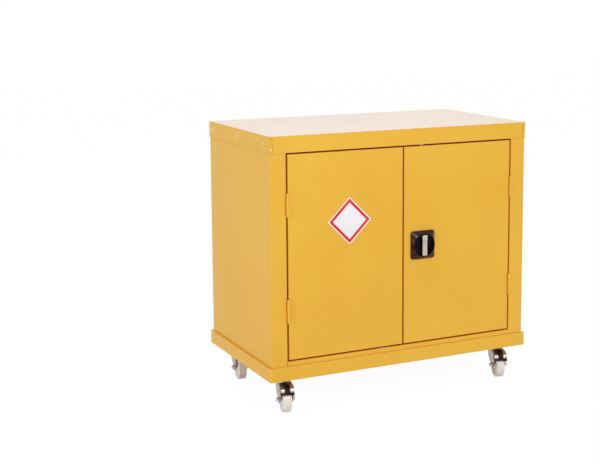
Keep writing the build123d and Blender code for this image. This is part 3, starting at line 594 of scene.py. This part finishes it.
def signMaterial():
    # printed vinyl: white margin, red band, white field, measured from the diamond's own sides
    material, tree, shader, place = newMaterial("signVinyl")
    centre = addNode(tree, "ShaderNodeMapping", (-1500, 300),
                     {"Location": (-sign["across"], 0.0, -sign["level"])})
    parts = addNode(tree, "ShaderNodeSeparateXYZ", (-1300, 300))
    wire(tree, (place, centre.inputs[0]), (centre.outputs[0], parts.inputs[0]))
    across = calc(tree, (-1100, 400), "ABSOLUTE", parts.outputs["X"])
    along = calc(tree, (-1100, 200), "ABSOLUTE", parts.outputs["Z"])
    both = calc(tree, (-1000, 300), "ADD", across, along)
    reach = calc(tree, (-900, 300), "MULTIPLY", both, math.sqrt(0.5))
    outer = sign["halfDiagonal"] * math.sqrt(0.5) - sign["margin"]
    inner, blur = outer - sign["band"], sign["blur"]
    rising = spread(tree, (-700, 400), reach, (inner - blur, inner + blur))
    falling = spread(tree, (-700, 200), reach, (outer - blur, outer + blur), (1.0, 0.0))
    inBand = calc(tree, (-500, 300), "MULTIPLY", rising, falling)
    marks = useGroup(tree, handlingMarks, (-1300, -400), place, {"Smear Scale": sign["smearScale"]})
    edge = useGroup(tree, edgeWear, (-1300, -100), place, {"Radius": sign["edgeRadius"]})
    mottle = noise(tree, (-1300, 700), place, {"Scale": sign["toneScale"], "Detail": 4.0})
    tone = spread(tree, (-1000, 700), mottle, noiseSpan)
    white = mixColour(tree, (-600, 700), tone, *sign["white"])
    red = mixColour(tree, (-600, 500), tone, *sign["red"])
    colour = mixColour(tree, (-300, 400), inBand, white, red)
    colour = layer(tree, (-150, 300), colour, edge.outputs["Mask"], sign["wear"], sign["worn"])
    wire(tree, (colour, shader.inputs["Base Color"]),
         (smeared(tree, (-600, -300), marks, sign), shader.inputs["Roughness"]))
    bump(tree, shader, mottle, edge.outputs["Normal"], sign["bump"], sign["bumpDepth"])
    return material


def signOutline():
    # a square on its corner, the four corners cut round
    points = []
    cut = sign["corner"]
    reach = sign["halfDiagonal"] - cut * math.sqrt(2)
    for quarter in range(4):
        turn = math.radians(90 * quarter)
        for swing in (-45, -22.5, 0, 22.5, 45):
            angle = turn + math.radians(swing)
            points.append((sign["across"] + reach * math.cos(turn) + cut * math.cos(angle), doorFace,
                           sign["level"] + reach * math.sin(turn) + cut * math.sin(angle)))
    return points


signMesh = plateMesh(signOutline(), sign["thickness"], (0, -1, 0))
keepPiece("signPlate", signMesh, signMaterial(), "left_door")

# the rim's side flanges turn round each front and back corner as a narrow tab
tab = {"width": 7.5 * mm, "thickness": 0.7 * mm, "drop": 13.0 * mm, "inset": 1.6 * mm, "shoulder": 0.7 * mm,
       "below": 0.6 * mm, "soft": 0.25 * mm}
tabJoint = {"grow": 1.1 * mm, "lift": 0.33 * mm, "below": 0.3 * mm, "thickness": 0.12 * mm}
# a brown coat for the painted shadow lines at the rim's joints
jointBrown = coatedSteel("jointBrown", dict(
    bodyYellow, deep=linear(140, 84, 30), light=linear(168, 108, 44), wear=0.0, dust=0.0, shine=0.2))


def tabOutline(corner, inward, face, grow, lift, below):
    # the tab from its face, grown inwards and upwards for the painted shadow line that shows beside it
    outer = corner + inward * tab["inset"]
    inner = outer + inward * (tab["width"] + grow)
    shoulder = outer + inward * (tab["shoulder"] + grow)
    return [(outer, face, rimLow.z), (inner, face, rimLow.z), (inner, face, rimHigh.z - tab["drop"] + lift),
            (shoulder, face, rimHigh.z - below), (outer, face, rimHigh.z - below)]


for endName, face, facing in (("Front", rimLow.y, -1), ("Back", rimHigh.y, 1)):
    for sideName, corner, inward in (("Left", rimLow.x, 1), ("Right", rimHigh.x, -1)):
        outline = tabOutline(corner, inward, face, 0.0, 0.0, tab["below"])
        mesh = plateMesh(outline, tab["thickness"], (0, facing, 0), tab["soft"])
        keepPiece("rimTab" + endName + sideName, mesh, powderYellow, "cabinet")
        # a thin brown sheet behind the tab, showing past its edge, is a painted shadow line for the open joint
        # beside it
        outline = tabOutline(corner, inward, face, tabJoint["grow"], tabJoint["lift"], tabJoint["below"])
        mesh = plateMesh(outline, tabJoint["thickness"], (0, facing, 0))
        keepPiece("tabJoint" + endName + sideName, mesh, jointBrown, "cabinet")

# a thin brown sheet under the rim's hem along the side panels, a painted shadow line for the joint there
hem = {"rise": 0.9 * mm, "inset": 7 * mm, "stand": 0.25 * mm}
hemFront, hemBack = rimLow.y + hem["inset"], rimHigh.y - hem["inset"]
hemLow, hemHigh = rimLow.z - hem["rise"], rimLow.z
leftFace, rightFace = low("left_side_panel").x, high("right_side_panel").x
for sideName, face, facing in (("Left", leftFace, -1), ("Right", rightFace, 1)):
    outline = [(face, hemFront, hemLow), (face, hemBack, hemLow), (face, hemBack, hemHigh),
               (face, hemFront, hemHigh)]
    mesh = plateMesh(outline, hem["stand"], (facing, 0, 0))
    keepPiece("hemJoint" + sideName, mesh, jointBrown, "cabinet")
print("sign, rim tabs and joints made")


# wheels and axle bolts, turned from their half sections

# the section's points are (along the axle, away from it, rounding) in millimetres, from tread to bore
wheel = {"section": ((12.6, 40, 3.2), (14, 31.5, 1.2), (10, 28.5, 1.2), (9, 15.5, 1.2), (15.5, 12, 1.2),
                     (17.5, 10, 0.6), (17.5, 6.05, 0)), "cornerSteps": 4, "steps": 72}


def softCorner(before, here, after, radius):
    # the points that round one corner of a half section
    if not radius:
        return [tuple(here)]
    first = here + (before - here).normalized() * radius
    last = here + (after - here).normalized() * radius
    shares = [step / wheel["cornerSteps"] for step in range(wheel["cornerSteps"] + 1)]
    return [tuple(first * (1 - share) ** 2 + here * 2 * share * (1 - share) + last * share ** 2)
            for share in shares]


def wheelProfile():
    # the section, then the wheel's other side mirrored
    side = wheel["section"]
    loop = [*side, *((-along, away, radius) for along, away, radius in reversed(side))]
    corners = [Vector((along, away)) * mm for along, away, radius in loop]
    result = []
    for index, here in enumerate(corners):
        after = corners[(index + 1) % len(corners)]
        result += softCorner(corners[index - 1], here, after, loop[index][2] * mm)
    return result


def turnAxes(axle):
    # the axle's own direction and one across it
    along = Vector(axle).normalized()
    return along, along.orthogonal().normalized()


def wheelMesh(centre, axle):
    # the half section spun about the axle
    work = bmesh.new()
    along, away = turnAxes(axle)
    ring = [work.verts.new(Vector(centre) + along * reach + away * radius)
            for reach, radius in wheelProfile()]
    edges = [work.edges.new(pair) for pair in zip(ring, ring[1:] + ring[:1])]
    bmesh.ops.spin(work, geom=ring + edges, cent=centre, axis=along, angle=math.tau, steps=wheel["steps"],
                   use_merge=True)
    bmesh.ops.remove_doubles(work, verts=work.verts, dist=weldReach)
    return meshFrom(work)


nut = {"cheek": 21 * mm, "sleeve": 6 * mm, "washer": 8.6 * mm, "washerSheet": 1.0 * mm, "radius": 8.0 * mm,
       "thickness": 7.4 * mm, "cut": 1.0 * mm, "topShare": 0.84, "stub": 4 * mm, "stubRise": 9.6 * mm,
       "dome": 0.6 * mm, "domeShare": 0.6, "steps": 36}


def hexReach(radius, angle):
    # how far out a hexagon's side lies at an angle
    return radius * math.cos(math.pi / 6) / math.cos(angle % (math.pi / 3) - math.pi / 6)


def axleBolt(centre, axle):
    # sleeve through the wheel, then at both ends a washer, a nut with cut corners and the bolt's domed end
    half = [(0, nut["sleeve"], False), (0, nut["washer"], False), (nut["washerSheet"], nut["washer"], False),
            (nut["washerSheet"], nut["radius"], True), (nut["thickness"] - nut["cut"], nut["radius"], True),
            (nut["thickness"], nut["radius"] * nut["topShare"], True), (nut["thickness"], nut["stub"], False),
            (nut["stubRise"] - nut["dome"], nut["stub"], False),
            (nut["stubRise"], nut["stub"] * nut["domeShare"], False)]
    rings = [(-nut["cheek"] - rise, radius, six) for rise, radius, six in reversed(half)]
    rings += [(nut["cheek"] + rise, radius, six) for rise, radius, six in half]
    work = bmesh.new()
    along, away = turnAxes(axle)
    aside = along.cross(away)
    angles = [math.tau * step / nut["steps"] for step in range(nut["steps"])]
    lines = []
    for reach, radius, six in rings:
        line = []
        for angle in angles:
            out = hexReach(radius, angle) if six else radius
            spoke = away * math.cos(angle) + aside * math.sin(angle)
            line.append(work.verts.new(Vector(centre) + along * reach + out * spoke))
        lines.append(line)
    loft(work, lines)
    return meshFrom(work)


def labelOf(castor):
    return "".join(word.capitalize() for word in castor.split("_"))


def jointsOf(start):
    # each castor's name with its joint of one kind
    found = [joint for joint in frame["joints"] if joint["name"].startswith(start)]
    return [(joint["name"][len(start):], joint) for joint in found]


for castor, joint in jointsOf("roll_"):
    label, wheelNode = labelOf(castor), "castor_wheel_" + castor
    centre = (low(wheelNode) + high(wheelNode)) / 2
    mesh = wheelMesh(centre, joint["axis"])
    piece = keepPiece("wheel" + label, mesh, nylonWhite, "wheel_" + castor, smooth=True)
    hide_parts(wheelNode)
    mesh = axleBolt(centre, joint["axis"])
    piece = keepPiece("axleBolt" + label, mesh, nutZinc, "fork_" + castor)
    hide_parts("castor_axle_" + castor)
print("wheels and axle bolts made")


# brake pedals: a bent plate rolled round its pin, with a black insert down to the toothed bar; in millimetres

pedal = {
    "bends": ((0, 3), (6, 6.9), (13, 8.6), (17.5, 7.7), (22, 5.4), (39, -2.6), (42, -4.8), (43, -8),
              (43, -14.4)),
    "sheet": 2.0, "inner": 18.2, "outer": 21.0, "widens": 24.0, "widenStep": 0.05, "barrel": 4.0,
    "barrelSides": 28, "insert": 8.2, "insertSheet": 1.8, "insertStart": 4,
    "barBack": 43.4, "barFront": 46.4, "barLow": -23.4, "barHigh": -14.4,
    "teeth": 4, "toothPitch": 9.0, "toothDepth": 4.4, "toothHalf": 3.6,
}


def pedalFrame(joint):
    # from millimetres across, forwards and up of the pedal's pin to a place on the cabinet
    across, up = Vector(joint["axis"]).normalized(), Vector((0, 0, 1))
    forwards = across.cross(up)
    pin = Vector(joint["pos_m"])
    return lambda side, ahead, rise: pin + (across * side + forwards * ahead + up * rise) * mm


def bentPlate(work, at, line, inside, outside, halfAt):
    # a strip that follows a line of (ahead, rise) points; inside and outside are its two skins
    rings = []
    for index, (ahead, rise) in enumerate(line):
        before, after = line[max(index - 1, 0)], line[min(index + 1, len(line) - 1)]
        run = Vector((after[0] - before[0], after[1] - before[1])).normalized()
        normal = Vector((-run.y, run.x))
        half = halfAt(ahead)
        ring = []
        for side, skin in ((-half, outside), (half, outside), (half, inside), (-half, inside)):
            ring.append(work.verts.new(at(side, ahead + normal.x * skin, rise + normal.y * skin)))
        rings.append(ring)
    loft(work, rings)


def pedalLine():
    # the bends, with the plate's step in width marked by two close points
    line, wide, step = [], pedal["widens"], pedal["widenStep"]
    for first, second in zip(pedal["bends"], pedal["bends"][1:]):
        line.append(first)
        if first[0] < wide < second[0]:
            slope = (second[1] - first[1]) / (second[0] - first[0])
            for ahead in (wide - step, wide + step):
                line.append((ahead, first[1] + slope * (ahead - first[0])))
    return line + [pedal["bends"][-1]]


def pedalPlate(at):
    work = bmesh.new()
    half = pedal["sheet"] / 2
    bentPlate(work, at, pedalLine(), -half, half,
              lambda ahead: pedal["outer"] if ahead > pedal["widens"] else pedal["inner"])
    sides, radius = pedal["barrelSides"], pedal["barrel"]
    turn = [math.tau * step / sides for step in range(sides)]
    circle = [(radius * math.cos(angle), radius * math.sin(angle)) for angle in turn]
    loft(work, [[work.verts.new(at(side, ahead, rise)) for ahead, rise in circle]
                for side in (-pedal["inner"], pedal["inner"])])
    return meshFrom(work)


def pedalInsert(at):
    work = bmesh.new()
    half = pedal["sheet"] / 2
    bentPlate(work, at, pedal["bends"][pedal["insertStart"]:], half, half + pedal["insertSheet"],
              lambda ahead: pedal["insert"])
    bottom, top = pedal["barLow"], pedal["barHigh"]
    zigzag = [(pedal["outer"], top), (-pedal["outer"], top), (-pedal["outer"], bottom)]
    for tooth in range(pedal["teeth"]):
        middle = (tooth - (pedal["teeth"] - 1) / 2) * pedal["toothPitch"]
        zigzag += [(middle - pedal["toothHalf"], bottom), (middle, bottom + pedal["toothDepth"]),
                   (middle + pedal["toothHalf"], bottom)]
    zigzag.append((pedal["outer"], bottom))
    loft(work, [[work.verts.new(at(side, ahead, rise)) for side, rise in zigzag]
                for ahead in (pedal["barBack"], pedal["barFront"])])
    return meshFrom(work)


for castor, joint in jointsOf("brake_"):
    label, at = labelOf(castor), pedalFrame(joint)
    piece = keepPiece("brakePedal" + label, pedalPlate(at), pedalZinc, "pedal_" + castor)
    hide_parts("castor_pedal_" + castor)
    piece = keepPiece("pedalInsert" + label, pedalInsert(at), pedalRubber, "pedal_" + castor)
    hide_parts("castor_pad_" + castor)
print("brake pedals made")


# rivets in rows, each a low cone with a flat crown standing on its place

def rowTree():
    tree = bpy.data.node_groups.new("rivetRow", "GeometryNodeTree")
    addSocket(tree, "Geometry", "INPUT", "Geometry")
    for label, kind in (("Count", "Int"), ("Start", "Vector"), ("Step", "Vector"), ("Turn", "Vector"),
                        ("Radius", "Float"), ("Crown", "Float"), ("Rise", "Float"), ("Sides", "Int"),
                        ("Finish", "Material")):
        addSocket(tree, label, "INPUT", kind)
    addSocket(tree, "Geometry", "OUTPUT", "Geometry")
    start = addNode(tree, "NodeGroupInput", (-1200, 0))
    end = addNode(tree, "NodeGroupOutput", (1000, 0))
    line = addNode(tree, "GeometryNodeMeshLine", (-800, 200), mode="OFFSET")
    head = addNode(tree, "GeometryNodeMeshCone", (-500, -300), fill_type="NGON")
    rotate = addNode(tree, "FunctionNodeEulerToRotation", (-500, -600))
    placed = addNode(tree, "GeometryNodeInstanceOnPoints", (100, 0))
    solid = addNode(tree, "GeometryNodeRealizeInstances", (400, 0))
    finish = addNode(tree, "GeometryNodeSetMaterial", (700, 0))
    takeIn(tree, start, ("Count", line.inputs["Count"]), ("Start", line.inputs["Start Location"]),
           ("Step", line.inputs["Offset"]), ("Turn", rotate.inputs[0]), ("Sides", head.inputs["Vertices"]),
           ("Radius", head.inputs["Radius Bottom"]), ("Crown", head.inputs["Radius Top"]),
           ("Rise", head.inputs["Depth"]), ("Finish", finish.inputs["Material"]))
    wire(tree, (line.outputs[0], placed.inputs["Points"]), (head.outputs["Mesh"], placed.inputs["Instance"]),
         (rotate.outputs[0], placed.inputs["Rotation"]), (placed.outputs[0], solid.inputs[0]),
         (solid.outputs[0], finish.inputs[0]), (finish.outputs[0], end.inputs[0]))
    return tree


rivetRow = rowTree()
rowSockets = socketsOf(rivetRow)


def rivets(name, size, start, step, turn):
    # runs the tree on an empty mesh and keeps the plain result
    holder = bpy.data.objects.new("holder", bpy.data.meshes.new("holder"))
    bpy.context.scene.collection.objects.link(holder)
    modifier = holder.modifiers.new("build", "NODES")
    modifier.node_group = rivetRow
    for label, value in dict(size, Start=start, Step=step, Turn=turn, Finish=rivetZinc).items():
        modifier[rowSockets[label]] = value
    holder.update_tag()
    ready = holder.evaluated_get(bpy.context.evaluated_depsgraph_get())
    mesh = bpy.data.meshes.new_from_object(ready)
    bpy.data.objects.remove(holder)
    return keepPiece(name, mesh, rivetZinc, "cabinet")


rimRivet = {"Count": 3, "Radius": 3.4 * mm, "Crown": 1.8 * mm, "Rise": 1.5 * mm, "Sides": 20}
tabRivet = {"Count": 2, "Radius": 2.4 * mm, "Crown": 1.3 * mm, "Rise": 1.1 * mm, "Sides": 20}
rivetPlace = {"level": 829 * mm, "first": 40 * mm, "pitch": 217 * mm, "tabLevel": 814 * mm}
quarterTurn = math.pi / 2
for sideName, face, turn in (("Left", rimLow.x, -quarterTurn), ("Right", rimHigh.x, quarterTurn)):
    rivets("rimRivets" + sideName, rimRivet, (face, rimLow.y + rivetPlace["first"], rivetPlace["level"]),
           (0.0, rivetPlace["pitch"], 0.0), (0.0, turn, 0.0))
tabMiddle = tab["inset"] + tab["width"] / 2
tabFront, tabBack = rimLow.y - tab["thickness"], rimHigh.y + tab["thickness"]
for endName, face, turn in (("Front", tabFront, quarterTurn), ("Back", tabBack, -quarterTurn)):
    rivets("tabRivets" + endName, tabRivet, (rimLow.x + tabMiddle, face, rivetPlace["tabLevel"]),
           (rimHigh.x - rimLow.x - 2 * tabMiddle, 0.0, 0.0), (turn, 0.0, 0.0))
print("rivets made")


# camera and light

camera = {"focal": 75.72, "sensor": 36.0, "far": 100.0, "turn": -27.574, "rise": 8.203,
          "place": (-1.88026, -3.64107, 1.28349), "shift": (-0.1222, -0.1027)}
lens = bpy.data.cameras.new("camera")
lens.sensor_width = camera["sensor"]
lens.lens = camera["focal"]
lens.shift_x, lens.shift_y = camera["shift"]
lens.clip_end = camera["far"]
viewer = bpy.data.objects.new("camera", lens)
viewer.location = camera["place"]
viewer.rotation_euler = (math.radians(90 - camera["rise"]), 0.0, math.radians(camera["turn"]))
bpy.context.scene.collection.objects.link(viewer)
bpy.context.scene.camera = viewer

lamps = {
    "frontSoft": {"power": 28.0, "size": (2.6, 2.2), "place": (0.3, -3.4, 2.2), "aim": (0.0, 0.0, 0.6)},
    "keySoft": {"power": 18.0, "size": (0.5, 0.5), "place": (-0.5, -3.3, 2.05), "aim": (0.0, 0.0, 0.6)},
    "sideSoft": {"power": 29.0, "size": (2.2, 2.2), "place": (-3.4, -0.6, 1.2), "aim": (0.0, 0.0, 0.3)},
    "rightSoft": {"power": 15.0, "size": (2.4, 0.7), "place": (3.4, 0.3, 0.42), "aim": (0.0, 0.0, 0.42)},
    "backSoft": {"power": 18.0, "size": (2.4, 0.7), "place": (1.5, 3.4, 0.42), "aim": (0.0, 0.0, 0.42)},
    "topSoft": {"power": 14.0, "size": (2.4, 2.4), "place": (0.2, 0.2, 3.2), "aim": (0.0, 0.0, 0.0)},
}
for name, lamp in lamps.items():
    light = bpy.data.lights.new(name, "AREA")
    light.shape = "RECTANGLE"
    light.size, light.size_y = lamp["size"]
    light.energy = lamp["power"]
    item = bpy.data.objects.new(name, light)
    item.visible_camera = False
    item.location = lamp["place"]
    item.rotation_euler = (Vector(lamp["aim"]) - Vector(lamp["place"])).to_track_quat("-Z", "Y").to_euler()
    bpy.context.scene.collection.objects.link(item)

plainWhite = (1.0, 1.0, 1.0, 1.0)
room = {"fill": 0.55, "fillColour": (1.0, 0.985, 0.965, 1.0), "floorShow": 0.92, "floorGlow": 1.04,
        "floorColour": (0.8, 0.8, 0.8, 1.0), "floorRough": 0.9, "floorReach": 14.0}


def seenDirectly(tree):
    # 1 for the camera's own rays and for what shows in metal and glass
    ray = addNode(tree, "ShaderNodeLightPath", (-600, 500))
    straight, through = ray.outputs["Is Camera Ray"], ray.outputs["Is Transmission Ray"]
    direct = calc(tree, (-400, 500), "MAXIMUM", straight, through)
    return calc(tree, (-200, 500), "MAXIMUM", direct, ray.outputs["Is Glossy Ray"])


world = bpy.data.worlds.new("room")
bpy.context.scene.world = world
world.use_nodes = True
tree = world.node_tree
tree.nodes.clear()
fill = addNode(tree, "ShaderNodeBackground", (-300, 0),
               {"Color": room["fillColour"], "Strength": room["fill"]})
seen = addNode(tree, "ShaderNodeBackground", (-300, -200), {"Color": plainWhite, "Strength": 1.0})
blend = addNode(tree, "ShaderNodeMixShader", (0, 0))
end = addNode(tree, "ShaderNodeOutputWorld", (300, 0))
wire(tree, (seenDirectly(tree), blend.inputs[0]), (fill.outputs[0], blend.inputs[1]),
     (seen.outputs[0], blend.inputs[2]), (blend.outputs[0], end.inputs[0]))

# pale floor that shows white and keeps the object's soft shadow
floorMesh = bpy.data.meshes.new("floor")
reach = room["floorReach"]
corners = [(-reach, -reach, 0), (reach, -reach, 0), (reach, reach, 0), (-reach, reach, 0)]
floorMesh.from_pydata(corners, [], [(0, 1, 2, 3)])
floor = bpy.data.objects.new("floor", floorMesh)
bpy.context.scene.collection.objects.link(floor)
pale, tree, shader, place = newMaterial("paleFloor")
shader.inputs["Base Color"].default_value = room["floorColour"]
shader.inputs["Roughness"].default_value = room["floorRough"]
glow = addNode(tree, "ShaderNodeEmission", (0, -300), {"Color": plainWhite, "Strength": room["floorGlow"]})
blend = addNode(tree, "ShaderNodeMixShader", (300, 100))
share = calc(tree, (150, 500), "MULTIPLY", seenDirectly(tree), room["floorShow"])
wire(tree, (share, blend.inputs[0]), (shader.outputs[0], blend.inputs[1]), (glow.outputs[0], blend.inputs[2]),
     (blend.outputs[0], tree.nodes["Material Output"].inputs[0]))
floorMesh.materials.append(pale)
bpy.context.scene.view_settings.view_transform = "Standard"
print("camera, light and floor set")
